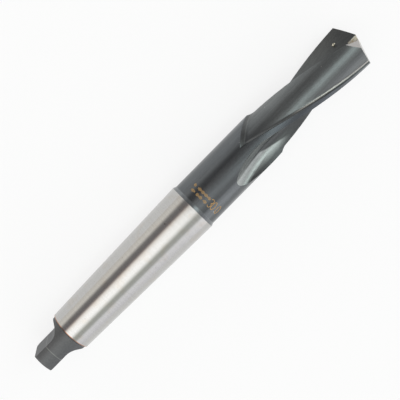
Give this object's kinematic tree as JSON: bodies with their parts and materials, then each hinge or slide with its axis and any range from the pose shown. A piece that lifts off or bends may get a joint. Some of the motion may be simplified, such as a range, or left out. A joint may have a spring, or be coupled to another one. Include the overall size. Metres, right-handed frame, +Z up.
{
  "type": "drill bit",
  "caption": "Two-flute taper-shank drill with a brazed cutting plate: right-hand flutes, margins, round neck, ground taper shank and flat tang.",
  "frame": {"origin": "on the drill's axis, in the plane where the taper shank is widest, 31.6 mm across", "axes": "+X along the axis towards the point; +Y and -Y square to the flats of the tang; the drill lies, and +Z is up"},
  "size_m": [0.2599, 0.0316, 0.0316],
  "materials": {
    "tool_steel": "black oxide on the body and neck, bright ground taper",
    "cemented_carbide": "ground grey hard metal",
    "braze": "yellow brazing brass, thin seam"
  },
  "bodies": {
    "root": {"drill_body": "tool_steel", "carbide_tip": "cemented_carbide", "braze_seam": "braze"}
  },
  "joints": []
}
